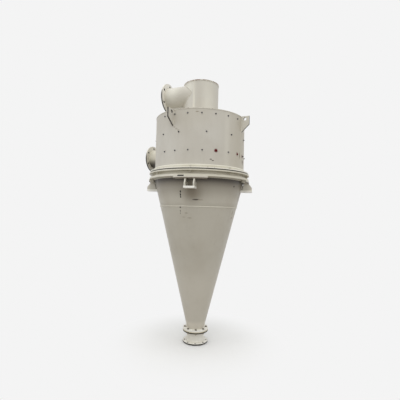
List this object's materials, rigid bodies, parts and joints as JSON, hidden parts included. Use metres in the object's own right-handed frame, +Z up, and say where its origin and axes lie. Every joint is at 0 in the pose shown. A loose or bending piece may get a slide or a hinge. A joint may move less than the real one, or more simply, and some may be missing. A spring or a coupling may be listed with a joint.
{
  "type": "cyclone separator",
  "caption": "Steel cyclone dust separator with a tangential inlet, a cone, a bolted discharge spool, an outlet plenum, support brackets and lifting lugs.",
  "frame": {"origin": "on the cyclone's axis, in the plane of the four bracket seats' undersides", "axes": "+Z up along the cyclone's axis; both duct mouths face -X, the inlet on the +Y side"},
  "size_m": [1.5504, 1.2628, 3.1209],
  "materials": {
    "drum_paint": "satin",
    "cone_paint": "satin",
    "rubber_gasket": "matte",
    "fibre_gasket": "matte"
  },
  "bodies": {
    "root": {"discharge_flange": "cone_paint", "discharge_neck": "cone_paint", "spool_flange": "cone_paint", "spool_gasket": "fibre_gasket", "cone_outlet_flange": "cone_paint", "lower_cone_1": "cone_paint", "lower_cone_2": "cone_paint", "lower_cone_3": "cone_paint", "lower_cone_4": "cone_paint", "upper_cone_1": "cone_paint", "upper_cone_2": "cone_paint", "upper_cone_3": "cone_paint", "upper_cone_4": "cone_paint", "cone_collar": "cone_paint", "support_ring": "drum_paint", "body_ring": "drum_paint", "body_gasket": "rubber_gasket", "drum_angle": "drum_paint", "drum_wall_1": "drum_paint", "drum_wall_2": "drum_paint", "drum_wall_3": "drum_paint", "drum_wall_4": "drum_paint", "plenum_wall_1": "drum_paint", "plenum_wall_2": "drum_paint", "plenum_wall_3": "drum_paint", "plenum_wall_4": "drum_paint", "drum_roof": "drum_paint", "vortex_finder": "cone_paint", "plenum_lid": "drum_paint", "outlet_pipe": "drum_paint", "outlet_flange": "drum_paint", "inlet_pipe": "drum_paint", "inlet_flange": "drum_paint", "lifting_lug_1": "drum_paint", "lifting_lug_2": "drum_paint", "lifting_lug_3": "drum_paint", "lifting_lug_4": "drum_paint", "bracket_seat_1": "drum_paint", "bracket_seat_2": "drum_paint", "bracket_seat_3": "drum_paint", "bracket_seat_4": "drum_paint", "bracket_body_1": "drum_paint", "bracket_body_2": "drum_paint", "bracket_body_3": "drum_paint", "bracket_body_4": "drum_paint"}
  },
  "joints": []
}
